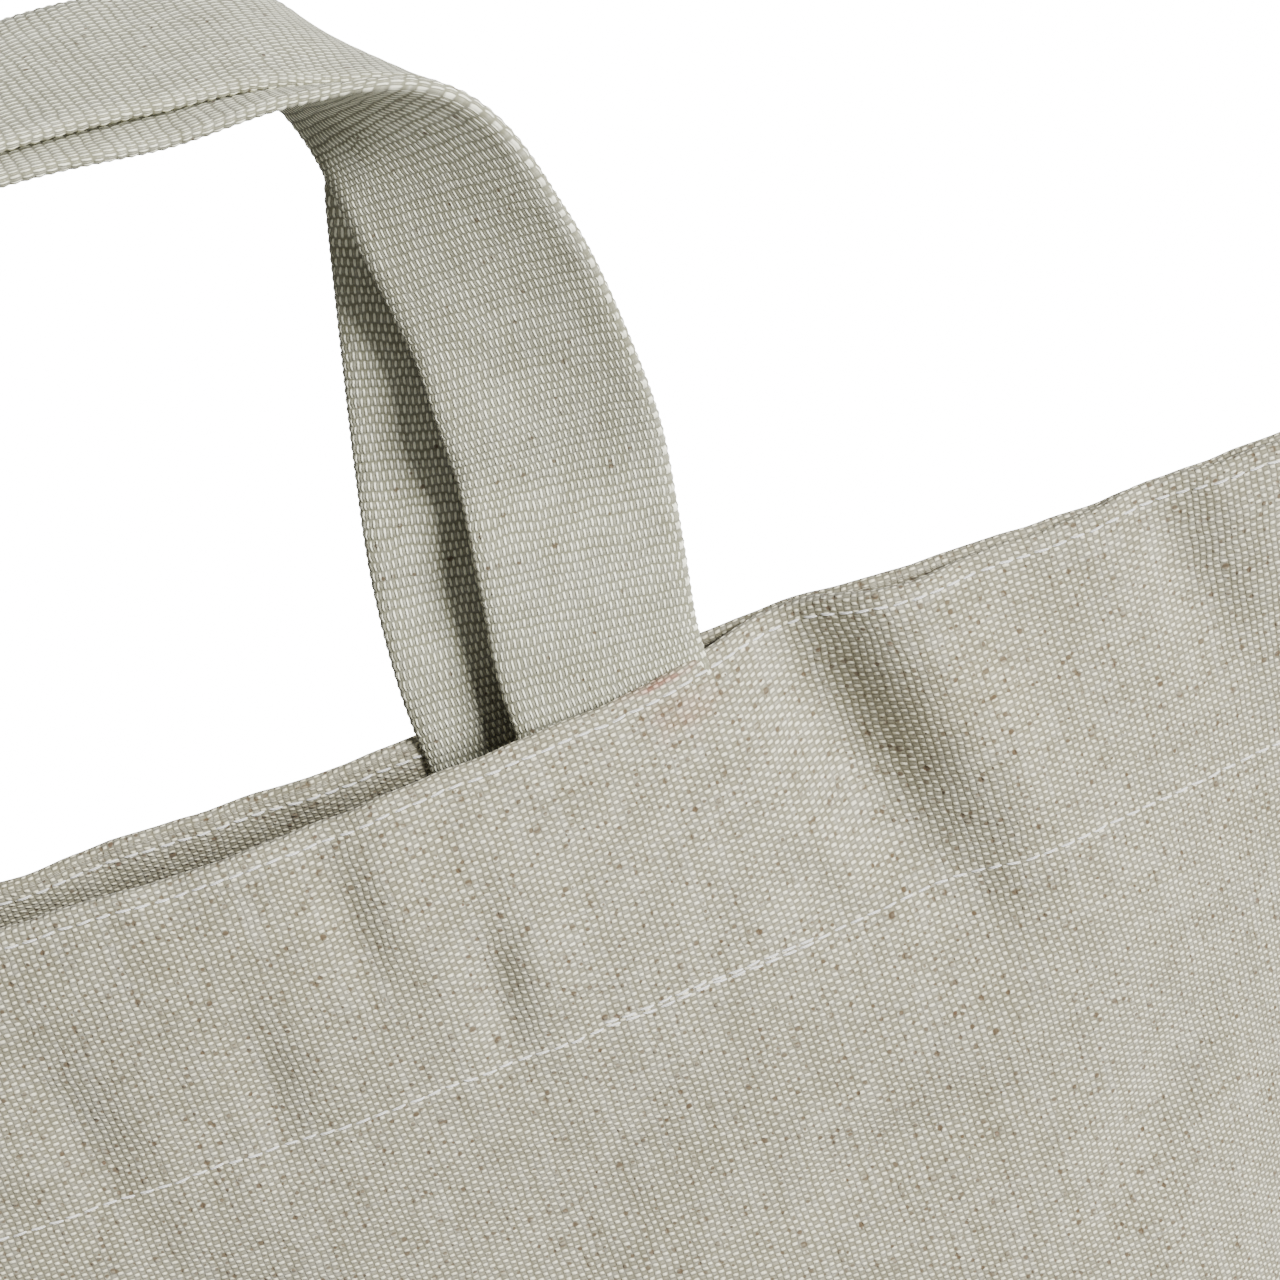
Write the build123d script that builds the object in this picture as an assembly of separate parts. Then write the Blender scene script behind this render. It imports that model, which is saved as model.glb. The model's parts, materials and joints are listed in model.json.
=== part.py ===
from build123d import *
import math
import os

# Canvas tote bag, in millimetres. +X runs along the mouth, the front faces -Y, +Z is up.
# The origin is the centre of the base, on the floor.

mouth_half_width = 219.0
standing_height = 380.0
base_half_length = 160.0
base_half_depth = 60.0
mouth_half_depth = 11.0
mouth_fullness = 1.3

canvas_thickness = 1.2
hem_depth = 50.0
rim_stitch_drop = 2.5
seam_half_gap = 0.65
seam_start = 7.0
seam_inset = 2.3

webbing_width = 32.0
webbing_thickness = 2.0
front_leg_spacing = 181.0
back_leg_spacing = 151.0
pivot_lift = 2.5
end_gap = 0.15

thread_width = 1.0
thread_thickness = 0.3
thread_gap = 0.05

hem_thickness = 2 * canvas_thickness
hem_line = standing_height - hem_depth
side_level_count = 5
side_levels = [hem_line * k / side_level_count for k in range(side_level_count)]

# Half of each handle, foot to crown: across, out of the foot's own plane, above the rim, twist.
# They suit webbing up to station_width; wider webbing needs a loop that much larger all round.
station_width = 32.0
front_half = [
    (0.0, 0.0, 0.0, 0.0),
    (2.2, 0.6, 17.0, 0.0),
    (4.6, 0.6, 36.0, 6.0),
    (4.8, -1.4, 55.0, 17.0),
    (2.6, -4.6, 75.0, 22.0),
    (-1.8, -7.2, 94.0, 38.0),
    (-15.0, -10.0, 107.5, 76.0),
    (-33.0, -15.4, 114.0, 98.0),
    (-52.5, -21.0, 117.6, 98.0),
    (-72.0, -25.0, 119.6, 98.0),
    (-0.5 * front_leg_spacing, -27.0, 120.2, 98.0),
]
back_half = [
    (0.0, 0.0, 0.0, 0.0),
    (1.6, 0.3, 19.0, 4.0),
    (5.5, -0.7, 39.0, 9.0),
    (10.0, -2.7, 59.0, 12.0),
    (14.0, -5.2, 79.5, 24.0),
    (15.5, -8.3, 98.2, 60.0),
    (3.0, -13.2, 112.6, 90.0),
    (-17.5, -21.2, 119.2, 102.0),
    (-38.5, -28.6, 123.0, 102.0),
    (-58.0, -33.6, 125.0, 101.0),
    (-0.5 * back_leg_spacing, -35.6, 125.7, 101.0),
]


def fullness(z):
    """How far the bag has changed from its boxed foot to its flat mouth at height z."""
    return (max(z, 0.0) / standing_height) ** mouth_fullness


def half_outline(z):
    """Points along the front panel's outer face at height z, from the middle to the side."""
    w = fullness(z)
    hem_end = seam_half_gap + hem_thickness
    foot_end = seam_half_gap + canvas_thickness
    deep = base_half_depth
    long = base_half_length
    foot = [
        (0.0, deep),
        (0.34 * long, deep),
        (0.69 * long, 0.992 * deep),
        (0.885 * long, 0.94 * deep),
        (0.975 * long, 0.76 * deep),
        (long, 0.42 * deep),
        (long, foot_end),
    ]
    points = []
    for share, corner in zip([0.0, 0.25, 0.5, 0.645, 0.745, 0.87, 1.0], foot):
        across = share * mouth_half_width
        lens = math.cos(math.pi * share / 2) ** 2
        out = hem_end + (mouth_half_depth - hem_end) * lens
        points.append((corner[0] * (1 - w) + across * w, corner[1] * (1 - w) + out * w))
    return points


def face_line(z, inset):
    """The panel's curve at height z, moved inwards by inset (negative moves it out)."""
    right = half_outline(z)
    left = [(-x, y) for x, y in reversed(right[1:])]
    outer = Spline([(x, -y, z) for x, y in left + right])
    if inset == 0:
        return outer
    moved = []
    for i in range(41):
        at = i / 40
        p = outer.position_at(at)
        t = outer.tangent_at(at)
        moved.append((p.X - t.Y * inset, p.Y + t.X * inset, z))
    return Spline(moved)


def strip_section(z, near, far):
    """A face at height z between two depths behind the panel's outer face."""
    one = face_line(z, near)
    two = face_line(z, far)
    start = Line(one @ 0, two @ 0)
    end = Line(one @ 1, two @ 1)
    return make_face([one, end, two, start])


def wall_band(levels, near, far, ruled=False):
    return loft([strip_section(z, near, far) for z in levels], ruled=ruled)


def front_wall():
    side = wall_band(side_levels + [hem_line], 0.0, canvas_thickness)
    hem = wall_band([hem_line, standing_height], 0.0, hem_thickness)
    return side + hem


def stitch_row(z):
    low = z - thread_width / 2
    high = z + thread_width / 2
    near = -thread_gap - thread_thickness
    return wall_band([low, high], near, -thread_gap, ruled=True)


def inner_point(x, z):
    """Where the hem's inner face is at one place across the bag."""
    line = face_line(z, hem_thickness)
    best = min((abs(line.position_at(i / 400).X - x), i) for i in range(401))
    return line.position_at(best[1] / 400).Y


def webbing_end(x):
    """The sewn end of a handle, lying on the hem's inner face from the rim down to the hem row."""
    depth = webbing_thickness / 2 + end_gap
    sections = []
    for z in (hem_line, standing_height):
        left = inner_point(x - webbing_width / 2, z)
        right = inner_point(x + webbing_width / 2, z)
        turn = math.degrees(math.atan2(right - left, webbing_width))
        y = (left + right) / 2 + depth
        plane = Plane(origin=(x, y, z), z_dir=(0, 0, 1)).rotated((0, 0, turn))
        sections.append(plane * Rectangle(webbing_width, webbing_thickness))
    return loft(sections, ruled=True)


def end_stitch(x, z):
    """The back-tacked run of stitches over one webbing end."""
    row = wall_band([z + 0.7, z + 1.7], -thread_gap - thread_thickness, -thread_gap, ruled=True)
    cut = Pos(x, -mouth_half_depth, z) * Box(webbing_width, 60, 10)
    return row & cut


def foot_depth(x):
    """The y of a front handle's foot: the middle of the webbing end below it."""
    left = inner_point(x - webbing_width / 2, standing_height)
    right = inner_point(x + webbing_width / 2, standing_height)
    return (left + right) / 2 + webbing_thickness / 2 + end_gap


def smooth_run(stations, steps):
    """Stations joined by a smooth curve through each of them, with steps between neighbours."""
    first = stations[0]
    below = (first[0], first[1], first[2] - 18.0, first[3])
    ends = [below] + stations + [(-below[0],) + below[1:]]
    run = []
    for i in range(1, len(ends) - 2):
        for k in range(steps):
            t = k / steps
            point = []
            for a, b, c, d in zip(ends[i - 1], ends[i], ends[i + 1], ends[i + 2]):
                bend = 2 * a - 5 * b + 4 * c - d
                curl = 3 * b - a - 3 * c + d
                point.append(b + 0.5 * t * (c - a + t * (bend + t * curl)))
            run.append(tuple(point))
    run.append(stations[-1])
    return run


def handle(spacing, half, foot_y):
    """One loop of webbing, its two feet just above the rim."""
    rise = standing_height + pivot_lift
    grown = max(webbing_width / station_width, 1.0)
    right = []
    for dx, dy, dz, turn in half:
        across = max(spacing / 2 + dx * grown, 0.0)
        right.append((across, foot_y + dy * grown, rise + dz * grown, turn))
    left = [(-x, y, z, turn) for x, y, z, turn in reversed(right[:-1])]
    run = smooth_run(right + left, 3)
    points = [Vector(x, y, z) for x, y, z, turn in run]
    last = len(points) - 1
    sections = []
    for i in range(last + 1):
        along = (points[min(i + 1, last)] - points[max(i - 1, 0)]).normalized()
        if i == 0:
            along = Vector(0, 0, 1)
        if i == last:
            along = Vector(0, 0, -1)
        out = Vector(along.Z, 0, -along.X).normalized()
        fore = out.cross(along).normalized()
        angle = math.radians(run[i][3])
        wide = out * math.cos(angle) + fore * math.sin(angle)
        plane = Plane(origin=points[i], x_dir=wide, z_dir=along)
        sections.append(plane * Rectangle(webbing_width, webbing_thickness))
    return loft(sections, ruled=True)


def side_seam():
    """The sewn-together edges at one side, from just above the base up to the rim."""
    sections = []
    for z in [seam_start] + side_levels[1:] + [hem_line, standing_height]:
        x = half_outline(z)[-1][0] - seam_inset
        thick = 2.4 * (1 - fullness(z)) + 1.0 * fullness(z)
        sections.append(Pos(x, 0, z) * Rectangle(4.0, thick))
    return loft(sections, ruled=True)


def base_face(inset, z):
    front = face_line(0.0, canvas_thickness + inset)
    rear = mirror(front, about=Plane.XZ)
    one = Line(front @ 1, rear @ 1)
    two = Line(rear @ 0, front @ 0)
    return Pos(0, 0, z) * make_face([front, one, rear, two])


def bottom():
    return extrude(base_face(0.1, 0.0), amount=canvas_thickness)


def base_seam():
    """The turned-in allowance that joins the base to the walls, inside the bag."""
    ring = base_face(0.5, canvas_thickness + 0.05) - base_face(2.0, canvas_thickness + 0.05)
    return extrude(ring, amount=5.0)


def behind(shape):
    return mirror(shape, about=Plane.XZ)


def save(name, shape):
    export_step(shape, "parts/" + name + ".step")


os.makedirs("parts", exist_ok=True)

wall = front_wall()
save("front_panel", wall)
save("back_panel", behind(wall))
save("bottom_panel", bottom())
save("base_seam", base_seam())

seam = side_seam()
save("side_seam_right", seam)
save("side_seam_left", mirror(seam, about=Plane.YZ))

rim_row = stitch_row(standing_height - rim_stitch_drop)
hem_row = stitch_row(hem_line + 1.0)
save("front_rim_stitch", rim_row)
save("back_rim_stitch", behind(rim_row))
save("front_hem_stitch", hem_row)
save("back_hem_stitch", behind(hem_row))

for side, sign in (("left", -1), ("right", 1)):
    front_x = sign * front_leg_spacing / 2
    back_x = sign * back_leg_spacing / 2
    save("front_webbing_end_" + side, webbing_end(front_x))
    save("back_webbing_end_" + side, behind(webbing_end(back_x)))
    save("front_end_stitch_" + side, end_stitch(front_x, hem_line + 1.0))
    save("back_end_stitch_" + side, behind(end_stitch(back_x, hem_line + 1.0)))

save("front_handle", handle(front_leg_spacing, front_half, foot_depth(front_leg_spacing / 2)))
save("back_handle", handle(back_leg_spacing, back_half, -foot_depth(back_leg_spacing / 2)))
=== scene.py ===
import json
import math

import bmesh
import bpy
import numpy as np
from mathutils import Matrix, Vector


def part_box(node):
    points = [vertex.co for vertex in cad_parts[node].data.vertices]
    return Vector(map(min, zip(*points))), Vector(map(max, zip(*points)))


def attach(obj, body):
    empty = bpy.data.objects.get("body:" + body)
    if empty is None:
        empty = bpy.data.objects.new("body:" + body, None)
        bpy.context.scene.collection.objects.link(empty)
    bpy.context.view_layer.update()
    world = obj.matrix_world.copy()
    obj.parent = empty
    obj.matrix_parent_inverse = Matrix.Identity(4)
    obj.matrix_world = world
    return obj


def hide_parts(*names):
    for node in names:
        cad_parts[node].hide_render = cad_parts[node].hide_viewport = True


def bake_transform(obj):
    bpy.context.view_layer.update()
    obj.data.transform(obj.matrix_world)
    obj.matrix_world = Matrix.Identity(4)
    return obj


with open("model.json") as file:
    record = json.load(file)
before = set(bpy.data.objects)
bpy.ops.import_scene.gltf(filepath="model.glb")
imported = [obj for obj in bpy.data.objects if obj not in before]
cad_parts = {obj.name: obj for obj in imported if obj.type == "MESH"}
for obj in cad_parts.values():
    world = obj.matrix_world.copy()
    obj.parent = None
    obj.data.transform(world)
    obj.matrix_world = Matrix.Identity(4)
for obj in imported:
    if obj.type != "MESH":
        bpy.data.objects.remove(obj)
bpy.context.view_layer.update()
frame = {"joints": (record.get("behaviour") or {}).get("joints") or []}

# ---- Front canvas panel ---------------------------------------------------------------------
# Heavy unbleached cotton duck, sewn to the back panel at the sides. Its top edge is turned
# in once to make a deep hem, and the cloth sags and puckers where the handle is sewn on.

floor_low, panel_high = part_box("front_panel")
mouth_half = panel_high[0]
standing_height = panel_high[2]
hem_depth = standing_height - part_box("front_webbing_end_right")[0][2]
foot_half_depth = -floor_low[1]
foot_half_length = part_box("bottom_panel")[1][0] + 0.0013
mouth_half_depth = 0.011
cloth = 0.0012
seam_half_gap = 0.00065
seam_gap = 0.0003
mouth_fullness = 1.3
hem_line = standing_height - hem_depth
fold_line = standing_height - cloth
leg_at = 0.0905
panel_columns = 215
wall_rows = 135
hem_rows = 34
panel_heights = np.concatenate([np.linspace(0, hem_line, wall_rows),
                                np.linspace(hem_line, fold_line, hem_rows)[1:]])


def through(at, knots, values):
    """A smooth curve through a few values, read at many places."""
    knots = np.asarray(knots, float)
    values = np.asarray(values, float)
    slope = np.gradient(values, knots)
    k = np.clip(np.searchsorted(knots, at, side="right") - 1, 0, len(knots) - 2)
    run = knots[k + 1] - knots[k]
    t = np.clip((at - knots[k]) / run, 0, 1)
    a = (1 + 2 * t) * (1 - t) ** 2 * values[k]
    b = t * (1 - t) ** 2 * run * slope[k]
    c = t * t * (3 - 2 * t) * values[k + 1]
    d = t * t * (t - 1) * run * slope[k + 1]
    return a + b + c + d


def ease(at, start, end):
    """A smooth step from 0 to 1 between two places."""
    t = np.clip((at - start) / (end - start), 0, 1)
    return t * t * (3 - 2 * t)


def bag_outline(share, height):
    """Across and outwards, for a place that is a share of the half width at a height."""
    w = (np.maximum(height, 0) / standing_height) ** mouth_fullness
    size = abs(share)
    knots = [-0.25, 0.0, 0.25, 0.5, 0.645, 0.745, 0.87, 1.0, 1.02]
    long = foot_half_length
    deep = foot_half_depth
    corner_x = np.array([-0.34, 0.0, 0.34, 0.69, 0.885, 0.975, 1.0, 1.0, 1.0]) * long
    corner_y = np.array([1.0, 1.0, 1.0, 0.992, 0.94, 0.76, 0.42, 0.031, -0.03]) * deep
    x = through(size, knots, corner_x) * (1 - w) + size * mouth_half * w
    hem_end = seam_half_gap + 2 * cloth
    lens = hem_end + (mouth_half_depth - hem_end) * np.cos(np.pi * size / 2) ** 2
    y = through(size, knots, corner_y) * (1 - w) + lens * w
    return np.sign(share) * x, y


def soft_folds(x, z, folds):
    """Ridges and hollows in the cloth. Each has a place across from a handle leg (1 for the
    right one, -1 for the left, 0 for the middle) and below the rim, then its length, width,
    slant and how far it stands out."""
    out = np.zeros_like(x)
    for leg, beyond_leg, below_rim, length, width, slant, depth in folds:
        across = leg * leg_at + beyond_leg
        height = standing_height - below_rim
        lean = math.radians(slant)
        along = (x - across) * math.sin(lean) + (z - height) * math.cos(lean)
        beside = (x - across) * math.cos(lean) - (z - height) * math.sin(lean)
        out += depth * np.exp(-(along / length) ** 2 - (beside / width) ** 2)
    return out


def hem_puckers(x, z, seed):
    """The fine drawing-in of the cloth along its two rows of stitches."""
    rise_per_pitch = 0.0065
    pulled_in = 0.00022
    rng = np.random.default_rng(seed)
    out = np.zeros_like(x)
    for row, reach in ((hem_line + 0.001, 0.008), (standing_height - 0.0025, 0.0035)):
        near = np.exp(-((z - row) / reach) ** 2)
        wave = np.zeros_like(x)
        for pitch in (0.0062, 0.0093, 0.0147, 0.023):
            phase = rng.uniform(0, 6.28)
            lean = rng.uniform(-0.5, 0.5)
            wave += np.sin(6.2832 * (x + lean * (z - row)) / pitch + phase) * pitch
        out += near * (wave * rise_per_pitch - pulled_in)
    return out


def grid_normals(points, side):
    """Outward directions of a panel's grid of points. side is -1 for the front."""
    down = np.gradient(points, axis=0)
    across = np.gradient(points, axis=1)
    n = np.cross(across, down)
    n /= np.linalg.norm(n, axis=2, keepdims=True)
    return n * np.sign((n[..., 1] * side).mean())


def mesh_piece(name, points, faces, flat_at=None):
    """A mesh from its points and faces, with the flat cloth's own measure as its UV map."""
    mesh = bpy.data.meshes.new(name)
    mesh.from_pydata([tuple(p) for p in points], [], faces)
    if flat_at is not None:
        layer = mesh.uv_layers.new(name="flat_cloth")
        index = np.empty(len(mesh.loops), dtype=np.int32)
        mesh.loops.foreach_get("vertex_index", index)
        layer.data.foreach_set("uv", np.asarray(flat_at, np.float32)[index].ravel())
    mesh.polygons.foreach_set("use_smooth", [True] * len(mesh.polygons))
    mesh.update()
    piece = bpy.data.objects.new(name, mesh)
    bpy.context.collection.objects.link(piece)
    return piece


def ring_faces(rows, columns):
    """Faces of a sheet whose rows close into a loop. Its two ends stay open."""
    faces = []
    for r in range(rows):
        a = r * columns
        b = (r + 1) % rows * columns
        faces += [(a + c, a + c + 1, b + c + 1, b + c) for c in range(columns - 1)]
    return faces


def close_ends(piece):
    """Shuts a shell's two open ends and turns its faces outwards."""
    work = bmesh.new()
    work.from_mesh(piece.data)
    bmesh.ops.remove_doubles(work, verts=work.verts, dist=1e-7)
    edges = [e for e in work.edges if e.is_boundary]
    bmesh.ops.holes_fill(work, edges=edges, sides=0)
    bmesh.ops.triangulate(work, faces=[f for f in work.faces if len(f.verts) > 4])
    bmesh.ops.recalc_face_normals(work, faces=work.faces)
    work.to_mesh(piece.data)
    work.free()


def canvas_panel(name, side, folds, lie, waver, seed):
    """One panel with its turned hem, as a closed shell. side is -1 for the front. lie moves
    the cloth in depth and waver moves its rim up and down."""
    shares = np.linspace(-1, 1, panel_columns)
    share, height = np.meshgrid(shares, panel_heights)
    x, y = bag_outline(share, height)
    outer = np.stack([x, side * y, height], axis=2)

    # The side edges are drawn in until the two cloths meet at the seam.
    normal = grid_normals(outer, side)
    doubled = 1 + ease(panel_heights, hem_line - 0.03, hem_line)
    for end in (0, -1):
        meeting = (cloth * doubled + seam_gap) * abs(normal[:, end, 1]) + 0.0001
        draw = abs(outer[:, end, 1]) - meeting
        towards_end = ease(shares * (1 if end else -1), 0.88, 1.0)
        outer[:, :, 1] -= side * draw[:, None] * towards_end

    normal = grid_normals(outer, side)
    rise = soft_folds(x, height, folds) + hem_puckers(x, height, seed)
    quiet = ease(height, 0.0, 0.03) * ease(1 - abs(share), 0.0, 0.06)
    outer = outer + normal * (rise * quiet)[..., None]
    outer[..., 1] += lie(x, height)
    outer[..., 2] += waver(x, height)
    normal = grid_normals(outer, side)

    # Up the outside, round the fold at the rim and down the inside, where the turned cloth
    # has a small groove and then ends at the hem line.
    rows = list(outer)
    flat_heights = list(panel_heights)
    crown = outer[-1] - normal[-1] * cloth
    up = np.array([0, 0, 1.0])
    for turn in (25, 50, 75, 90, 105, 130, 155):
        a = math.radians(turn)
        rows.append(crown + cloth * (normal[-1] * math.cos(a) + up * math.sin(a)))
        flat_heights.append(fold_line + a * cloth)
    for r in range(len(panel_heights) - 1, -1, -1):
        thick = 2 * cloth if r >= wall_rows else cloth
        rows.append(outer[r] - normal[r] * thick)
        flat_heights.append(2 * fold_line - panel_heights[r])
        if r == wall_rows + 1:
            for depth, drop in ((2 * cloth, 0.0006), (cloth * 1.15, 0.0009)):
                rows.append(outer[r] - normal[r] * depth - up * drop)
                flat_heights.append(flat_heights[-1] - drop)
    grid = np.array(rows)
    flat = np.stack(np.meshgrid(shares * mouth_half, flat_heights), axis=2)
    piece = mesh_piece(name, grid.reshape(-1, 3), ring_faces(len(rows), panel_columns),
                       flat.reshape(-1, 2))
    close_ends(piece)
    return piece, outer, normal


front_folds = [
    (1, 0.0310, 0.020, 0.023, 0.0082, -14, -0.0052),
    (1, 0.0490, 0.016, 0.030, 0.0115, -12, 0.0036),
    (1, 0.058, 0.040, 0.022, 0.0120, -10, 0.0016),
    (1, 0.022, 0.024, 0.016, 0.0050, -14, 0.0009),
    (1, 0.021, 0.044, 0.008, 0.0035, -20, -0.0016),
    (1, -0.032, 0.038, 0.012, 0.0035, 8, -0.0020),
    (1, -0.024, 0.034, 0.014, 0.0050, 5, 0.0012),
    (1, -0.049, 0.014, 0.013, 0.0042, 0, -0.0017),
    (1, -0.041, 0.016, 0.014, 0.0060, 0, 0.0010),
    (1, -0.070, 0.038, 0.012, 0.0045, 3, -0.0019),
    (1, -0.080, 0.044, 0.010, 0.0050, 25, -0.0014),
    (1, -0.100, 0.037, 0.014, 0.0060, -8, -0.0020),
    (1, 0.092, 0.016, 0.018, 0.0070, -8, -0.0032),
    (1, 0.072, 0.030, 0.030, 0.0120, -5, 0.0014),
    (1, 0.062, 0.098, 0.020, 0.0070, 40, -0.0029),
    (1, 0.021, 0.087, 0.022, 0.0060, 78, -0.0026),
    (1, 0.050, 0.072, 0.026, 0.0100, 70, 0.0017),
    (1, -0.030, 0.080, 0.030, 0.0110, 60, -0.0023),
    (1, -0.085, 0.085, 0.030, 0.0120, -35, -0.0026),
    (-1, -0.032, 0.022, 0.026, 0.0070, 8, -0.0030),
    (-1, 0.034, 0.034, 0.016, 0.0060, -8, -0.0018),
    (-1, -0.060, 0.080, 0.040, 0.0140, -25, -0.0032),
    (-1, 0.012, 0.100, 0.045, 0.0180, 12, 0.0026),
    (0, 0.010, 0.130, 0.060, 0.0240, 35, -0.0040),
    (0, 0.070, 0.200, 0.070, 0.0220, -30, -0.0045),
    (0, -0.080, 0.230, 0.080, 0.0240, 28, -0.0048),
    (0, -0.010, 0.290, 0.050, 0.0300, 70, -0.0040),
    (0, 0.120, 0.300, 0.050, 0.0200, 50, -0.0038),
    (0, -0.130, 0.310, 0.050, 0.0200, -50, -0.0038),
]


def front_lies_back(x, z):
    """Right of the handle the panel falls back until the two rims meet and the mouth is
    shut. The place where it falls runs down to the right."""
    slant = 0.24
    reach = through(x - slant * (standing_height - z),
                    [-0.2185, -0.15, -0.11, 0.100, 0.121, 0.133, 0.15, 0.18, 0.2185],
                    [0, 0.0004, 0.0010, 0.0010, 0.0062, 0.0030, 0.0027, 0.0014, 0.0])
    return reach * ease(z, standing_height - 0.085, standing_height - 0.012)


def rim_waver(x, z):
    """The rim is cut and folded by hand, so its edge rises and falls a little."""
    wave = (0.00007 * np.sin(x * 610 + 1.0) + 0.00016 * np.sin(x * 260)
            + 0.0004 * np.sin(x * 97 + 2.0))
    return wave * ease(z, standing_height - 0.02, standing_height)


front_canvas, front_face, front_normal = canvas_panel(
    "front_canvas", -1, front_folds, front_lies_back, rim_waver, 4)


def node_tools(material):
    """Short ways to add shader nodes and join them."""
    tree = material.node_tree
    for old in list(tree.nodes):
        tree.nodes.remove(old)

    def add(kind, **settings):
        node = tree.nodes.new(kind)
        for key, value in settings.items():
            setattr(node, key, value)
        return node

    def join(source, socket):
        if hasattr(source, "is_output"):
            tree.links.new(source, socket)
        else:
            socket.default_value = source

    def math_node(work, *terms):
        node = add("ShaderNodeMath", operation=work)
        for place, term in enumerate(terms):
            join(term, node.inputs[place])
        return node.outputs[0]

    def mix(share, one, two, blend="MIX"):
        node = add("ShaderNodeMix", data_type="RGBA", blend_type=blend)
        join(share, node.inputs["Factor"])
        join(one, node.inputs[6])
        join(two, node.inputs[7])
        return node.outputs[2]

    def ranged(value, low, high, to_low, to_high):
        node = add("ShaderNodeMapRange", interpolation_type="SMOOTHSTEP")
        for place, term in enumerate((value, low, high, to_low, to_high)):
            join(term, node.inputs[place])
        return node.outputs[0]

    return tree, add, join, math_node, mix, ranged


def woven_cloth(name, light, pit, pitches, relief, tint, seeds, under=0.3, stain=(),
                crest=0.98):
    """Plain-woven cotton: rows of raised thread crossings, slubs, seed flecks and soft stains.
    pitches are the two threads' spacings, under is how high the lower thread shows and crest
    is the height at which a thread has its full light colour. pit is painted shade: the darker
    colour given to the hollows between the threads."""
    material = bpy.data.materials.new(name)
    material.use_nodes = True
    tree, add, join, math_node, mix, ranged = node_tools(material)
    flat = add("ShaderNodeUVMap", uv_map="flat_cloth")

    def noise(scale, stretch=(1, 1, 1), detail=2.0):
        place = add("ShaderNodeMapping")
        place.inputs["Scale"].default_value = stretch
        join(flat.outputs[0], place.inputs[0])
        node = add("ShaderNodeTexNoise", noise_dimensions="3D")
        node.inputs["Scale"].default_value = scale
        node.inputs["Detail"].default_value = detail
        join(place.outputs[0], node.inputs["Vector"])
        return node

    wobble = noise(230, detail=3.0)
    parts = add("ShaderNodeSeparateXYZ")
    join(flat.outputs[0], parts.inputs[0])
    shift = add("ShaderNodeSeparateColor")
    join(wobble.outputs["Color"], shift.inputs[0])
    waves = []
    stray = 1.1
    for place, pitch in enumerate(pitches):
        push = math_node("MULTIPLY", math_node("SUBTRACT", shift.outputs[place], 0.5),
                         pitch * stray)
        moved = math_node("ADD", parts.outputs[place], push)
        waves.append(math_node("COSINE", math_node("MULTIPLY", moved, math.pi / pitch)))
    cross = math_node("MULTIPLY", waves[0], waves[1])
    over = math_node("POWER", math_node("MAXIMUM", cross, 0.0), 0.75)
    hollow = math_node("MAXIMUM", math_node("MULTIPLY", cross, -1.0), 0.0)
    below = math_node("POWER", hollow, 0.6)
    crossings = math_node("ADD", over, math_node("MULTIPLY", below, under))
    slub_along = noise(1.0, (900, 50, 1))
    slub_across = noise(1.0, (45, 1300, 1))
    slub = math_node("ADD", slub_along.outputs["Fac"], slub_across.outputs["Fac"])
    fuzz = noise(3800)
    lift = math_node("MULTIPLY", crossings, math_node("MULTIPLY_ADD", slub, 0.3, 0.7))
    height = math_node("ADD", lift, math_node("MULTIPLY", fuzz.outputs["Fac"], 0.25))

    # Painted shade: the hollows of the weave get the dark pit colour and the raised threads the
    # light one.
    shade = ranged(height, 0.22, crest, 0.0, 1.0)
    color = mix(shade, pit, light)
    patchy = noise(14, detail=4.0)
    color = mix(ranged(patchy.outputs["Fac"], 0.35, 0.7, 0.0, 0.25), color, tint, "MULTIPLY")
    mottle = noise(170)
    color = mix(ranged(mottle.outputs["Fac"], 0.36, 0.66, 0.0, 0.9), color,
                (0.84, 0.835, 0.82, 1), "MULTIPLY")
    streak = ranged(slub, 0.85, 1.35, 0.0, 0.08)
    color = mix(streak, color, (1.0, 1.0, 0.98, 1), "SCREEN")
    # Seed flecks of three sizes: cells to a metre, share that has a fleck, its size and colour.
    for scale, chance, size, dark in ((300, 0.34, 0.125, (0.085, 0.055, 0.026, 1)),
                                      (610, 0.40, 0.19, (0.10, 0.072, 0.040, 1)),
                                      (120, 0.10, 0.045, (0.09, 0.05, 0.025, 1))):
        cells = add("ShaderNodeTexVoronoi", voronoi_dimensions="2D")
        cells.inputs["Scale"].default_value = scale
        bent = add("ShaderNodeVectorMath", operation="MULTIPLY_ADD")
        join(wobble.outputs["Color"], bent.inputs[0])
        bent.inputs[1].default_value = (0.0008, 0.0008, 0)
        join(flat.outputs[0], bent.inputs[2])
        join(bent.outputs[0], cells.inputs["Vector"])
        lot = add("ShaderNodeSeparateColor")
        join(cells.outputs["Color"], lot.inputs[0])
        drawn = math_node("LESS_THAN", lot.outputs[0], chance * seeds)
        wide = math_node("MULTIPLY_ADD", lot.outputs[1], size, size * 0.5)
        share = math_node("DIVIDE", cells.outputs["Distance"], wide)
        spot = ranged(share, 0.6, 1.15, 0.95, 0.0)
        faint = math_node("MULTIPLY_ADD", lot.outputs[2], 0.4, 0.6)
        cover = math_node("MULTIPLY", math_node("MULTIPLY", spot, drawn), faint)
        color = mix(cover, color, dark)

    # Soft stains, each an uneven blot round a place on the cloth.
    for centre, reach, hue, depth in stain:
        here = add("ShaderNodeTexCoord")
        place = add("ShaderNodeVectorMath", operation="SUBTRACT")
        join(here.outputs["Object"], place.inputs[0])
        place.inputs[1].default_value = centre
        scaled = add("ShaderNodeVectorMath", operation="DIVIDE")
        join(place.outputs[0], scaled.inputs[0])
        scaled.inputs[1].default_value = reach
        far = add("ShaderNodeVectorMath", operation="LENGTH")
        join(scaled.outputs[0], far.inputs[0])
        ragged = math_node("MULTIPLY_ADD", noise(420, detail=3.0).outputs["Fac"], 1.1,
                           far.outputs["Value"])
        color = mix(ranged(ragged, 0.35, 1.55, depth, 0.0), color, hue, "MULTIPLY")

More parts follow.
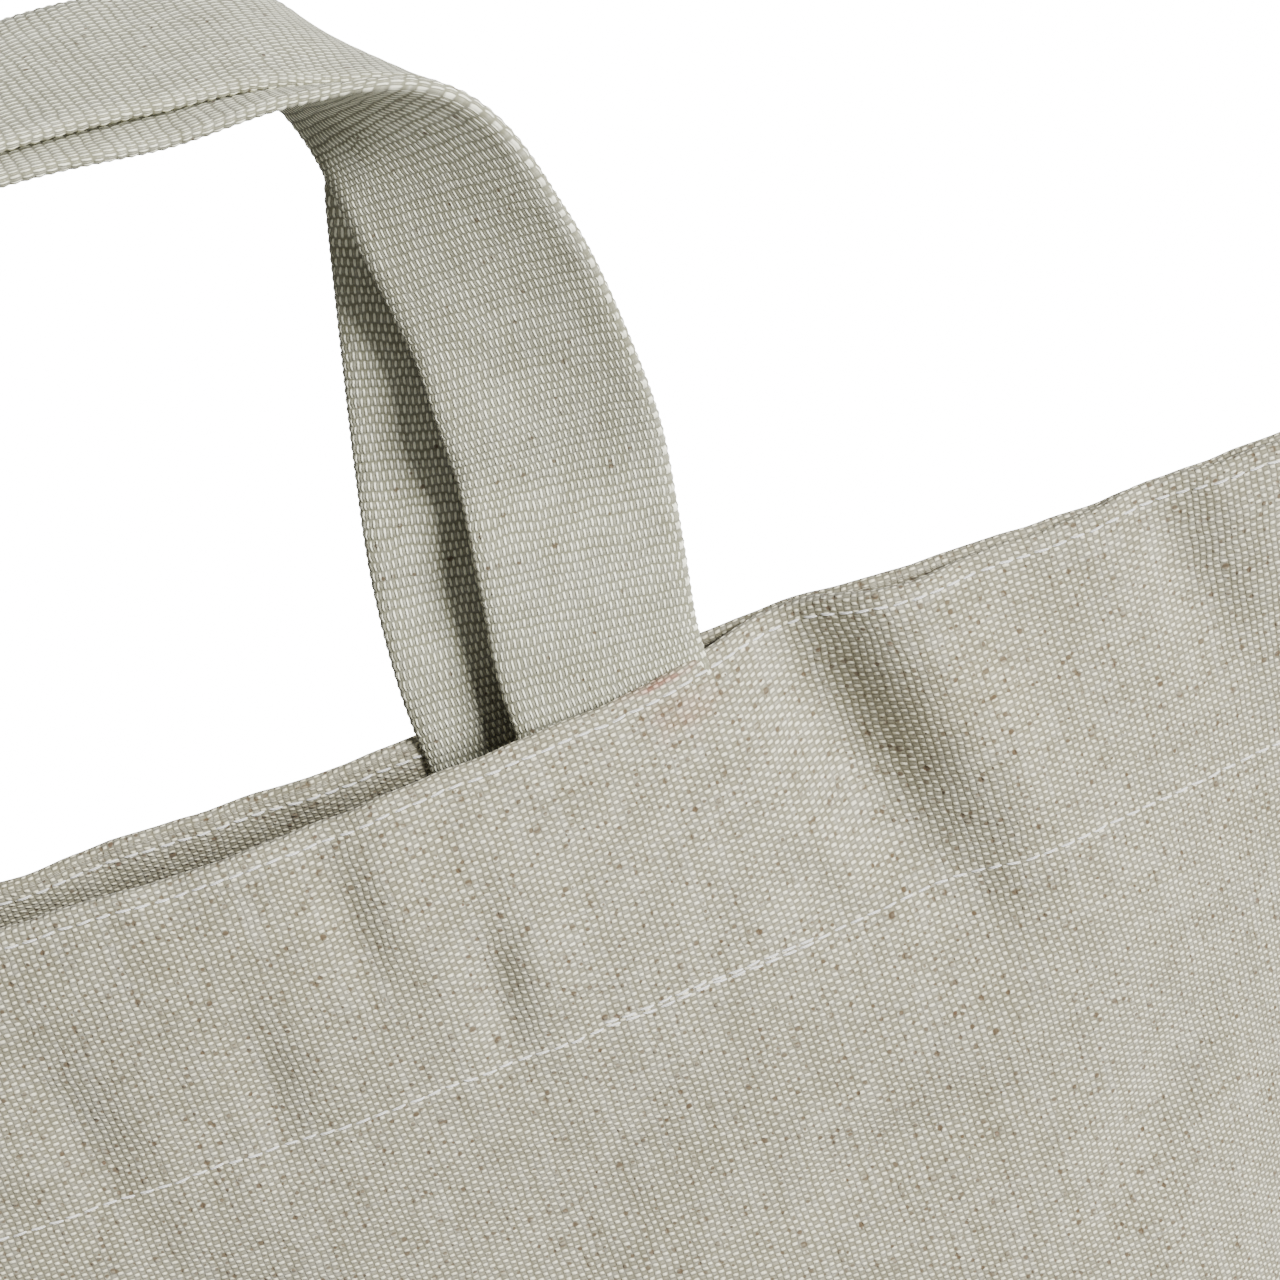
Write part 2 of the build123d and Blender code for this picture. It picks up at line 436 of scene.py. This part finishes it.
    bump = add("ShaderNodeBump")
    bump.inputs["Strength"].default_value = 1.0
    bump.inputs["Distance"].default_value = 1.0
    join(math_node("MULTIPLY", height, relief), bump.inputs["Height"])
    surface = add("ShaderNodeBsdfPrincipled")
    surface.inputs["Roughness"].default_value = 0.92
    surface.inputs["Specular IOR Level"].default_value = 0.18
    surface.inputs["Sheen Weight"].default_value = 0.12
    surface.inputs["Sheen Roughness"].default_value = 0.6
    join(color, surface.inputs["Base Color"])
    join(bump.outputs[0], surface.inputs["Normal"])
    out = add("ShaderNodeOutputMaterial")
    join(surface.outputs[0], out.inputs["Surface"])
    return material


warp_pitch = 0.00106
weft_pitch = 0.000675
rim_stain = [
    ((leg_at + 0.0080, -0.0085, standing_height - 0.0010), (0.0100, 0.007, 0.0011),
     (0.70, 0.20, 0.16, 1), 1.0),
    ((leg_at + 0.0110, -0.0110, standing_height - 0.0065), (0.0110, 0.009, 0.0060),
     (0.93, 0.64, 0.58, 1), 0.85),
    ((leg_at - 0.060, -0.0100, standing_height - 0.0200), (0.040, 0.020, 0.0200),
     (0.96, 0.93, 0.85, 1), 0.6),
    ((leg_at + 0.050, -0.0100, standing_height - 0.0220), (0.030, 0.020, 0.0180),
     (0.97, 0.93, 0.84, 1), 0.6),
]
canvas_light = (0.82, 0.784, 0.590, 1)
# Painted shade for the hollows between the canvas threads, not a yarn colour.
canvas_pit_shade = (0.190, 0.175, 0.117, 1)
canvas_tint = (0.93, 0.90, 0.83, 1)
canvas_relief = 0.00025
duck_front = woven_cloth("duck_front", canvas_light, canvas_pit_shade, (warp_pitch, weft_pitch),
                         canvas_relief, canvas_tint, seeds=1.0, stain=rim_stain)
front_canvas.data.materials.append(duck_front)
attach(front_canvas, "bag")
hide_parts("front_panel")

# ---- Back canvas panel ----------------------------------------------------------------------
# The same cut of cotton duck behind. To the right of its handle it lies forward against the
# front panel, so the mouth is open in the middle and shut towards that side.

back_folds = [
    (1, -0.010, 0.020, 0.024, 0.0070, -8, -0.0014),
    (-1, 0.040, 0.030, 0.024, 0.0080, 10, -0.0018),
    (1, 0.045, 0.060, 0.040, 0.0130, -20, -0.0022),
    (-1, -0.040, 0.070, 0.040, 0.0130, 20, -0.0024),
    (0, 0.020, 0.120, 0.060, 0.0240, -30, -0.0030),
    (0, -0.060, 0.200, 0.070, 0.0220, 25, -0.0034),
    (0, 0.090, 0.240, 0.070, 0.0240, -25, -0.0034),
    (0, 0.010, 0.300, 0.050, 0.0300, 75, -0.0030),
]


def back_lies_forward(x, z):
    """The back panel lies forward, most of all right of the handle."""
    reach = through(x, [-0.2185, -0.15, -0.09, 0.09, 0.104, 0.121, 0.133, 0.15, 0.18, 0.2185],
                    [0, 0.0012, 0.0020, 0.0020, 0.0014, 0.0004, 0.0034, 0.0034, 0.0014, 0.0])
    return -reach * ease(z, standing_height - 0.12, standing_height - 0.01)


def back_rim_waver(x, z):
    """The back rim was sewn a little lower than the front one, left of the right-hand leg."""
    low = through(x, [-0.2185, -0.16, 0.085, 0.125, 0.2185], [0, 0.0016, 0.0016, 0.0002, 0.0])
    return rim_waver(x + 0.31, z) - low * ease(z, standing_height - 0.035, standing_height)


back_canvas, back_face, back_normal = canvas_panel(
    "back_canvas", 1, back_folds, back_lies_forward, back_rim_waver, 9)
duck_back = woven_cloth("duck_back", (0.85, 0.800, 0.580, 1), canvas_pit_shade,
                        (warp_pitch, weft_pitch), canvas_relief, canvas_tint, seeds=1.0)
back_canvas.data.materials.append(duck_back)
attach(back_canvas, "bag")
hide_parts("back_panel")

# ---- Base -----------------------------------------------------------------------------------
# A rounded rectangle of the same duck, sewn in round its edge. It lies on the floor and
# rises a little towards the seam.

base_columns = 81
base_steps = 25
base_inset = 0.0022
base_rise = 0.0011
base_points = []
base_flat = []
for layer in (0, 1):
    for r in range(base_steps):
        for c in range(base_columns):
            across = -1 + 2 * c / (base_columns - 1)
            y_share = -1 + 2 * r / (base_steps - 1)
            edge_x, edge_y = bag_outline(np.array([abs(across)]), np.array([0.0]))
            x = math.copysign(edge_x[0], across) * (1 - base_inset / foot_half_length)
            y = y_share * max(edge_y[0] - 0.0016, 0.0002)
            wave = 0.5 + 0.5 * math.sin(x * 90) * math.cos(y * 120)
            lift = base_rise * wave * (1 - y_share ** 4)
            z = (0.0 if layer == 0 else cloth) + lift * (1 - abs(across) ** 6)
            base_points.append((x, y, z))
            base_flat.append((x, y))
base_faces = []
half = base_steps * base_columns
for layer in (0, 1):
    for r in range(base_steps - 1):
        for c in range(base_columns - 1):
            a = layer * half + r * base_columns + c
            quad = (a, a + 1, a + base_columns + 1, a + base_columns)
            base_faces.append(quad if layer else quad[::-1])
rim = list(range(base_columns))
rim += [r * base_columns + base_columns - 1 for r in range(1, base_steps)]
rim += [(base_steps - 1) * base_columns + c for c in range(base_columns - 2, -1, -1)]
rim += [r * base_columns for r in range(base_steps - 2, 0, -1)]
for a, b in zip(rim, rim[1:] + rim[:1]):
    base_faces.append((a, b, b + half, a + half))
base_canvas = mesh_piece("base_canvas", base_points, base_faces, base_flat)
close_ends(base_canvas)
base_canvas.data.materials.append(duck_back)
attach(base_canvas, "bag")
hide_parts("bottom_panel")

# ---- Front handle ---------------------------------------------------------------------------
# Flat ribbed cotton webbing. Each end is sewn inside the hem and the loop stands up from the
# rim, turning a quarter on its way over, so its face becomes the underside of the crown.

webbing_width = 0.032
webbing_thick = 0.002
rib_pitch = 0.00153
end_yarn_pitch = 0.00048
foot_lift = 0.0025
front_loop_half = [
    (0.0, 0.0, 0.0, 0.0),
    (2.2, 0.6, 17.0, 0.0),
    (4.6, 0.6, 36.0, 6.0),
    (4.8, -1.4, 55.0, 17.0),
    (2.6, -4.6, 75.0, 22.0),
    (-1.8, -7.2, 94.0, 38.0),
    (-15.0, -10.0, 107.5, 76.0),
    (-33.0, -15.4, 114.0, 98.0),
    (-52.5, -21.0, 117.6, 98.0),
    (-72.0, -25.0, 119.6, 98.0),
    (-90.5, -27.0, 120.2, 98.0),
]


def webbing_run(stations, half_space, foot_y, end_y, slide):
    """The whole strap's line from one sewn end to the other: place and twist at each station.
    Stations are millimetres from the foot, and slide moves the feet in depth."""
    slide_ends_at = 36
    loop = []
    for dx, dy, dz, turn in stations[:-1]:
        near_foot = slide * max(0.0, 1 - dz / slide_ends_at)
        loop.append((half_space + dx / 1000, foot_y + dy / 1000 + near_foot,
                     standing_height + foot_lift + dz / 1000, turn))
    dx, dy, dz, turn = stations[-1]
    crown = (0.0, foot_y + dy / 1000, standing_height + foot_lift + dz / 1000, turn)
    tail = []
    for share in (0.0, 0.33, 0.66, 0.95):
        at_y = end_y + (foot_y - end_y) * share + slide * (0.6 + 0.4 * share)
        tail.append((half_space, at_y, hem_line + hem_depth * share, 0.0))
    right = tail + loop
    left = [(-x, y, z, turn) for x, y, z, turn in reversed(right)]
    return right + [crown] + left


def strap_mesh(name, run, cup, material, nodes):
    """A flat strap with ribs across it, swept along its run as a closed shell. cup says how
    far its face bows at each place."""
    knots = np.array(run)
    gaps = np.linalg.norm(np.diff(knots[:, :3], axis=0), axis=1)
    at = np.concatenate([[0], np.cumsum(gaps)])
    steps = int(at[-1] / (rib_pitch / 4))
    s = np.linspace(0, at[-1], steps + 1)
    place = np.stack([through(s, at, knots[:, k]) for k in range(3)], axis=1)
    twist = np.radians(through(s, at, knots[:, 3]))
    smooth_over = 31
    kernel = np.hanning(smooth_over)
    kernel /= kernel.sum()
    for k in range(3):
        padded = np.pad(place[:, k], smooth_over // 2, mode="reflect", reflect_type="odd")
        place[:, k] = np.convolve(padded, kernel, mode="valid")
    along = np.gradient(place, axis=0)
    along /= np.linalg.norm(along, axis=1, keepdims=True)
    out = np.stack([along[:, 2], 0 * s, -along[:, 0]], axis=1)
    out /= np.linalg.norm(out, axis=1, keepdims=True)
    fore = np.cross(out, along)
    wide = out * np.cos(twist)[:, None] + fore * np.sin(twist)[:, None]
    thick = np.cross(along, wide)
    true_s = np.concatenate([[0], np.cumsum(np.linalg.norm(np.diff(place, axis=0), axis=1))])
    half_w = webbing_width / 2
    half_t = webbing_thick / 2
    across_steps = 15
    corner = half_t * 0.6
    faces_at = [-half_w + corner + (webbing_width - 1.2 * half_t) * i / (across_steps - 1)
                for i in range(across_steps)]
    edge_profile = [(half_w - 0.0002, corner, 0.6), (half_w, 0, 0.0),
                    (half_w - 0.0002, -corner, -0.6)]
    profile = [(w, half_t, 1.0) for w in faces_at] + edge_profile
    profile += [(w, -half_t, -1.0) for w in reversed(faces_at)]
    profile += [(-w, -t, -side) for w, t, side in edge_profile]
    flat_across = faces_at + [half_w + 0.0003, half_w + 0.001, half_w + 0.0017]
    flat_across += [webbing_width + 0.001 - w for w in reversed(faces_at)]
    flat_across += [2 * webbing_width - back for back in (0.0137, 0.0133, 0.0126)]
    rib_wave = np.cos(2 * np.pi * true_s / rib_pitch)
    rib = 0.00005 * rib_wave
    edge_rib = 0.00009 * rib_wave
    rings = []
    flat = []
    for (w, t, side), u in zip(profile, flat_across):
        at_edge = abs(w) > half_w - 0.0007
        swell = math.copysign(1, w) * edge_rib if at_edge else 0 * s
        ring = place + wide * (w + swell)[:, None]
        ring = ring + thick * (t + side * rib + cup(true_s, w / half_w))[:, None]
        rings.append(ring)
        flat.append(np.stack([np.full(len(s), u), true_s], axis=1))
    piece = mesh_piece(name, np.stack(rings).reshape(-1, 3), ring_faces(len(profile), len(s)),
                       np.stack(flat).reshape(-1, 2))
    close_ends(piece)
    piece.data.materials.append(material)
    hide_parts(*nodes)
    return piece, true_s[-1]


def strap_folds(s, w, cup, turns, folds):
    """How far a strap bows, plus the soft bends its owner's hand has left in it."""
    out = cup * np.sin(s / 0.025 + turns) * w * w
    for at, across, length, width, depth in folds:
        out = out + depth * np.exp(-((s - at) / length) ** 2 - ((w - across) / width) ** 2)
    return out


# The webbing's second, dark colour is painted shade for the hollows between its yarns.
webbing_cotton = woven_cloth("webbing_cotton", (0.99, 0.985, 0.775, 1),
                             (0.215, 0.210, 0.140, 1), (end_yarn_pitch, rib_pitch), 0.00026,
                             (0.95, 0.93, 0.87, 1), seeds=0.10, under=0.25, crest=0.78)
sewn_depth = 0.0013
front_end_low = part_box("front_webbing_end_right")[0]
front_foot_y = frame["joints"][0]["pos_m"][1]
back_foot_y = frame["joints"][1]["pos_m"][1]
front_run = webbing_run(front_loop_half, leg_at, front_foot_y, front_end_low[1] + sewn_depth,
                        0.0009)
front_bends = ((0.086, 0.15, 0.0095, 1.6, 0.0023), (0.099, -0.85, 0.009, 0.6, -0.0016),
               (0.118, 0.35, 0.012, 0.7, 0.0010))
front_webbing, front_length = strap_mesh(
    "front_webbing", front_run, lambda s, w: strap_folds(s, w, 0.0005, 0.0, front_bends),
    webbing_cotton,
    ("front_handle", "front_webbing_end_left", "front_webbing_end_right"))
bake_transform(front_webbing)

# ---- Back handle ----------------------------------------------------------------------------
# A second length of the same webbing, sewn a little closer in on the back panel. It leans to
# the right behind the front leg and lies over the front handle at the crown.

back_leg_at = 0.0755
back_loop_half = [
    (0.0, 0.0, 0.0, 0.0),
    (1.6, 0.3, 19.0, 4.0),
    (5.5, -0.7, 39.0, 9.0),
    (10.0, -2.7, 59.0, 12.0),
    (14.0, -5.2, 79.5, 24.0),
    (15.5, -8.3, 98.2, 60.0),
    (3.0, -13.2, 112.6, 90.0),
    (-17.5, -21.2, 119.2, 102.0),
    (-38.5, -28.6, 123.0, 102.0),
    (-58.0, -33.6, 125.0, 101.0),
    (-75.5, -35.6, 125.7, 101.0),
]
back_end_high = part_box("back_webbing_end_right")[1]
back_run = webbing_run(back_loop_half, back_leg_at, back_foot_y, back_end_high[1] - sewn_depth,
                       -0.0020)
back_bends = ((0.172, 1.0, 0.020, 0.55, -0.0020),)
back_webbing, back_length = strap_mesh(
    "back_webbing", back_run, lambda s, w: strap_folds(s, w, 0.0004, 1.0, back_bends),
    webbing_cotton,
    ("back_handle", "back_webbing_end_left", "back_webbing_end_right"))
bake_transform(back_webbing)

# ---- Stitching ------------------------------------------------------------------------------
# White lockstitch, three millimetres long. One row holds the rim's fold, one the hem's lower
# edge, and a second run is sewn back over each webbing end.

thread_white = bpy.data.materials.new("thread_white")
thread_white.use_nodes = True
tree, add, join, math_node, mix, ranged = node_tools(thread_white)
where = add("ShaderNodeTexCoord")
twist_wave = add("ShaderNodeTexWave", wave_type="BANDS", bands_direction="DIAGONAL")
twist_wave.inputs["Scale"].default_value = 1500
twist_wave.inputs["Distortion"].default_value = 1.5
join(where.outputs["Object"], twist_wave.inputs["Vector"])
thread_bump = add("ShaderNodeBump")
thread_bump.inputs["Distance"].default_value = 0.00006
join(twist_wave.outputs["Fac"], thread_bump.inputs["Height"])
thread_surface = add("ShaderNodeBsdfPrincipled")
thread_surface.inputs["Roughness"].default_value = 0.62
thread_surface.inputs["Sheen Weight"].default_value = 0.2
join(mix(twist_wave.outputs["Fac"], (0.70, 0.69, 0.65, 1), (0.88, 0.88, 0.85, 1)),
     thread_surface.inputs["Base Color"])
join(thread_bump.outputs[0], thread_surface.inputs["Normal"])
thread_out = add("ShaderNodeOutputMaterial")
join(thread_surface.outputs[0], thread_out.inputs["Surface"])

stitch_length = 0.0030


def one_stitch():
    """A short round thread, sunk at both ends, that every row repeats."""
    points = []
    faces = []
    for i in range(7):
        t = i / 6
        fat = 0.00023 * math.sin(math.pi * (0.12 + 0.76 * t)) ** 0.5
        sink = 0.00030 * (1 - math.sin(math.pi * t)) ** 1.5
        for k in range(6):
            a = math.pi / 3 * k
            points.append(((t - 0.5) * stitch_length * 0.86, fat * math.cos(a),
                           fat * math.sin(a) - sink))
    for i in range(6):
        for k in range(6):
            m = (k + 1) % 6
            faces.append((i * 6 + k, i * 6 + m, (i + 1) * 6 + m, (i + 1) * 6 + k))
    faces.append(tuple(reversed(range(6))))
    faces.append(tuple(range(36, 42)))
    piece = mesh_piece("stitch_pattern", points, faces)
    close_ends(piece)
    return piece


stitch_pattern = one_stitch()


def stitch_tree():
    """A Geometry Nodes tree that lays stitches along a line, each turned to lie on the cloth."""
    group = bpy.data.node_groups.new("lay_stitches", "GeometryNodeTree")
    face = group.interface
    face.new_socket("Geometry", in_out="INPUT", socket_type="NodeSocketGeometry")
    face.new_socket("Geometry", in_out="OUTPUT", socket_type="NodeSocketGeometry")
    sockets = {}
    for name, kind in (("Stitch", "NodeSocketObject"), ("Stitch length", "NodeSocketFloat"),
                       ("Unevenness", "NodeSocketFloat"), ("Thread", "NodeSocketMaterial")):
        sockets[name] = face.new_socket(name, in_out="INPUT", socket_type=kind)
    nodes = group.nodes
    link = group.links.new
    start = nodes.new("NodeGroupInput")
    end = nodes.new("NodeGroupOutput")
    line = nodes.new("GeometryNodeMeshToCurve")
    link(start.outputs["Geometry"], line.inputs[0])
    spaced = nodes.new("GeometryNodeResampleCurve")
    spaced.mode = "LENGTH"
    link(line.outputs[0], spaced.inputs[0])
    link(start.outputs["Stitch length"], spaced.inputs["Length"])
    tangent = nodes.new("GeometryNodeInputTangent")
    facing = nodes.new("GeometryNodeInputNamedAttribute")
    facing.data_type = "FLOAT_VECTOR"
    facing.inputs["Name"].default_value = "out_of_cloth"
    turn_x = nodes.new("FunctionNodeAlignRotationToVector")
    turn_x.axis = "X"
    link(tangent.outputs[0], turn_x.inputs["Vector"])
    turn_z = nodes.new("FunctionNodeAlignRotationToVector")
    turn_z.axis = "Z"
    turn_z.pivot_axis = "X"
    link(turn_x.outputs[0], turn_z.inputs["Rotation"])
    link(facing.outputs["Attribute"], turn_z.inputs["Vector"])
    chance = nodes.new("FunctionNodeRandomValue")
    chance.data_type = "FLOAT_VECTOR"
    chance.inputs["Min"].default_value = (-1, -1, -1)
    chance.inputs["Max"].default_value = (1, 1, 1)
    chance.inputs["Seed"].default_value = 7
    scaled = nodes.new("ShaderNodeVectorMath")
    scaled.operation = "SCALE"
    link(chance.outputs["Value"], scaled.inputs[0])
    link(start.outputs["Unevenness"], scaled.inputs["Scale"])
    lean = nodes.new("FunctionNodeEulerToRotation")
    link(scaled.outputs[0], lean.inputs[0])
    both = nodes.new("FunctionNodeRotateRotation")
    both.rotation_space = "LOCAL"
    link(turn_z.outputs[0], both.inputs["Rotation"])
    link(lean.outputs[0], both.inputs["Rotate By"])
    info = nodes.new("GeometryNodeObjectInfo")
    link(start.outputs["Stitch"], info.inputs[0])
    lay = nodes.new("GeometryNodeInstanceOnPoints")
    link(spaced.outputs[0], lay.inputs["Points"])
    link(info.outputs["Geometry"], lay.inputs["Instance"])
    link(both.outputs[0], lay.inputs["Rotation"])
    real = nodes.new("GeometryNodeRealizeInstances")
    link(lay.outputs[0], real.inputs[0])
    paint = nodes.new("GeometryNodeSetMaterial")
    link(real.outputs[0], paint.inputs[0])
    link(start.outputs["Thread"], paint.inputs["Material"])
    link(paint.outputs[0], end.inputs[0])
    return group, {name: socket.identifier for name, socket in sockets.items()}


lay_stitches, stitch_inputs = stitch_tree()


def stitch_rows(name, rows, nodes):
    """Rows of real stitches. Each row is its points and the cloth's outward direction at them."""
    points = []
    edges = []
    outs = []
    for line, out in rows:
        start = len(points)
        points += [tuple(p) for p in line]
        outs += [tuple(n) for n in out]
        edges += [(start + i, start + i + 1) for i in range(len(line) - 1)]
    mesh = bpy.data.meshes.new(name + "_line")
    mesh.from_pydata(points, edges, [])
    layer = mesh.attributes.new("out_of_cloth", "FLOAT_VECTOR", "POINT")
    layer.data.foreach_set("vector", np.asarray(outs, np.float32).ravel())
    guide = bpy.data.objects.new(name + "_line", mesh)
    bpy.context.collection.objects.link(guide)
    modifier = guide.modifiers.new("stitches", "NODES")
    modifier.node_group = lay_stitches
    modifier[stitch_inputs["Stitch"]] = stitch_pattern
    modifier[stitch_inputs["Stitch length"]] = stitch_length
    modifier[stitch_inputs["Unevenness"]] = 0.11
    modifier[stitch_inputs["Thread"]] = thread_white
    guide.data.update()
    bpy.context.view_layer.update()
    made = guide.evaluated_get(bpy.context.evaluated_depsgraph_get())
    sewn = bpy.data.objects.new(name, bpy.data.meshes.new_from_object(made))
    bpy.context.collection.objects.link(sewn)
    bpy.data.objects.remove(guide)
    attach(sewn, "bag")
    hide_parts(*nodes)
    return sewn


def row_on(face, normal, height, low, high, depth, stray, seed):
    """A line across a panel at one height, a little proud of the cloth. With a depth it lies
    on the inner side, and stray is how unevenly it was sewn."""
    r = np.searchsorted(panel_heights, height)
    t = (height - panel_heights[r - 1]) / (panel_heights[r] - panel_heights[r - 1])
    line = face[r - 1] * (1 - t) + face[r] * t
    out = normal[r - 1] * (1 - t) + normal[r] * t
    keep = (line[:, 0] >= low) & (line[:, 0] <= high)
    rng = np.random.default_rng(seed)
    drift = np.cumsum(rng.normal(0, 1, len(line)))
    drift = (drift - np.convolve(drift, np.ones(31) / 31, mode="same")) * stray
    line = line + np.stack([0 * drift, 0 * drift, drift], axis=1)
    way = -1.0 if depth > 0 else 1.0
    line = line - out * depth + out * way * 0.00012
    return line[keep], out[keep] * way


rim_row = standing_height - 0.0028
hem_row = hem_line + 0.0010
end_row = hem_row + 0.0006
edge_in = mouth_half * 0.985
end_half = 0.017
for prefix, face, normal, leg in (("front", front_face, front_normal, leg_at),
                                  ("back", back_face, back_normal, back_leg_at)):
    for part, height, low, high, inner, stray, seed in (
            ("rim", rim_row, -edge_in, edge_in, 2 * cloth, 0.00005, 2),
            ("hem", hem_row, -edge_in, edge_in, 2 * cloth, 0.00006, 3),
            ("left", end_row, -leg - end_half, -leg + end_half, 2 * cloth + 0.0021, 0.00012, 5),
            ("right", end_row, leg - end_half, leg + end_half, 2 * cloth + 0.0021, 0.00012, 5)):
        rows = [row_on(face, normal, height, low, high, depth, stray, seed)
                for depth in (0.0, inner)]
        if part in ("rim", "hem"):
            stitch_rows(prefix + "_" + part + "_stitches", rows, [prefix + "_" + part + "_stitch"])
        else:
            stitch_rows(prefix + "_end_stitches_" + part, rows, [prefix + "_end_stitch_" + part])

bpy.data.objects.remove(stitch_pattern)

# ---- Side seams and base seam ---------------------------------------------------------------
# The raw edges of the two panels are sewn together inside the bag and bound in stitches, and
# the base is joined to the walls in the same way.

binding_levels = 90
for side, sign in (("left", -1), ("right", 1)):
    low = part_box("side_seam_" + side)[0]
    heights = np.linspace(low[2], standing_height - 0.0005, binding_levels)
    x = bag_outline(np.full(binding_levels, float(sign)), heights)[0]
    rings = []
    flat = []
    for across, out in ((-0.0007, 0.0006), (-0.0007, -0.0006), (-0.0042, -0.0006),
                        (-0.0042, 0.0006)):
        rings.append(np.stack([x + sign * across, np.full(binding_levels, out), heights], axis=1))
        flat.append(np.stack([np.full(binding_levels, across), heights], axis=1))
    seam = mesh_piece("side_binding_" + side, np.stack(rings).reshape(-1, 3),
                      ring_faces(4, binding_levels), np.stack(flat).reshape(-1, 2))
    close_ends(seam)
    seam.data.materials.append(duck_back)
    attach(seam, "bag")
    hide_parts("side_seam_" + side)

base_ring = []
ring_flat = []
base_ring_faces = []
ring_steps = 240
for ring, (inset, z) in enumerate(((0.0019, 0.0014), (0.0019, 0.0062), (0.0032, 0.0060),
                                   (0.0034, 0.0016))):
    here = ring * ring_steps
    there = (ring + 1) % 4 * ring_steps
    for i in range(ring_steps):
        a = 2 * math.pi * i / ring_steps
        share = math.copysign(abs(math.cos(a)) ** 0.8, math.cos(a))
        ex, ey = bag_outline(np.array([share]), np.array([0.0]))
        y = math.copysign(1, math.sin(a)) * max(ey[0] - inset, 0.0)
        base_ring.append((ex[0] * (1 - inset / foot_half_length), y, z))
        ring_flat.append((i * 0.004, z))
        j = (i + 1) % ring_steps
        base_ring_faces.append((here + i, here + j, there + j, there + i))
base_binding = mesh_piece("base_binding", base_ring, base_ring_faces, ring_flat)
close_ends(base_binding)
base_binding.data.materials.append(duck_back)
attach(base_binding, "bag")
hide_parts("base_seam")

# ---- Floor, light and camera ----------------------------------------------------------------
# A plain pale floor that shows as white, a broad soft light from above on the right, a
# weaker one low behind, and a pale sky.

white_when_seen = 16.0
sky_glow = 0.29
floor_reach = 4.0
floor_mesh = bpy.data.meshes.new("floor")
floor_mesh.from_pydata([(-floor_reach, -floor_reach, 0), (floor_reach, -floor_reach, 0),
                        (floor_reach, floor_reach, 0), (-floor_reach, floor_reach, 0)], [],
                       [(0, 1, 2, 3)])
floor = bpy.data.objects.new("floor", floor_mesh)
bpy.context.collection.objects.link(floor)
floor_paint = bpy.data.materials.new("floor_white")
floor_paint.use_nodes = True
floor_surface = floor_paint.node_tree.nodes["Principled BSDF"]
floor_surface.inputs["Base Color"].default_value = (0.30, 0.30, 0.29, 1)
floor_surface.inputs["Roughness"].default_value = 0.9
floor_surface.inputs["Specular IOR Level"].default_value = 0.0
floor_tree = floor_paint.node_tree
glow = floor_tree.nodes.new("ShaderNodeEmission")
seen = floor_tree.nodes.new("ShaderNodeLightPath")
strength = floor_tree.nodes.new("ShaderNodeMath")
strength.operation = "MULTIPLY"
strength.inputs[1].default_value = white_when_seen
both = floor_tree.nodes.new("ShaderNodeAddShader")
for source, socket in ((seen.outputs["Is Camera Ray"], strength.inputs[0]),
                       (strength.outputs[0], glow.inputs["Strength"]),
                       (floor_surface.outputs[0], both.inputs[0]),
                       (glow.outputs[0], both.inputs[1]),
                       (both.outputs[0], floor_tree.nodes["Material Output"].inputs["Surface"])):
    floor_tree.links.new(source, socket)
floor_mesh.materials.append(floor_paint)

world = bpy.data.worlds.new("studio")
bpy.context.scene.world = world
world.use_nodes = True
sky = world.node_tree.nodes["Background"]
sky.inputs["Color"].default_value = (1.0, 1.0, 1.0, 1)
sky_seen = world.node_tree.nodes.new("ShaderNodeLightPath")
sky_strength = world.node_tree.nodes.new("ShaderNodeMath")
sky_strength.operation = "MULTIPLY_ADD"
sky_strength.inputs[1].default_value = white_when_seen
sky_strength.inputs[2].default_value = sky_glow
world.node_tree.links.new(sky_seen.outputs["Is Camera Ray"], sky_strength.inputs[0])
world.node_tree.links.new(sky_strength.outputs[0], sky.inputs["Strength"])


def soft_light(name, place, aim, size, power):
    """A square light, turned to face the place it is aimed at."""
    data = bpy.data.lights.new(name, "AREA")
    data.shape = "SQUARE"
    data.size = size
    data.energy = power
    lamp = bpy.data.objects.new(name, data)
    bpy.context.collection.objects.link(lamp)
    lamp.location = place
    lamp.rotation_euler = (Vector(aim) - Vector(place)).to_track_quat("-Z", "Y").to_euler()


soft_light("key", (1.30, -1.26, 1.06), (leg_at, 0, standing_height), 0.63, 113)
soft_light("behind", (-0.5, 2.0, 0.42), (0, 0, 0.25), 1.4, 42)

tilt = math.radians(27.0)
roll = math.radians(19.2)
plain_right = Vector((1, 0, 0))
plain_up = Vector((0, math.sin(tilt), math.cos(tilt)))
back = Vector((0, -math.cos(tilt), math.sin(tilt)))
right = math.cos(roll) * plain_right - math.sin(roll) * plain_up
up = math.sin(roll) * plain_right + math.cos(roll) * plain_up
view_distance = 0.55
view_width = 0.197
centre = Vector((leg_at, front_foot_y, standing_height)) + right * 0.0049 + up * 0.0072
sensor_width = 36
camera_data = bpy.data.cameras.new("camera")
camera_data.sensor_width = sensor_width
camera_data.lens = sensor_width * view_distance / view_width
camera_data.clip_start = 0.01
camera = bpy.data.objects.new("camera", camera_data)
turned = Matrix((right, up, back)).transposed().to_4x4()
turned.translation = centre + back * view_distance
camera.matrix_world = turned
bpy.context.collection.objects.link(camera)
bpy.context.scene.camera = camera
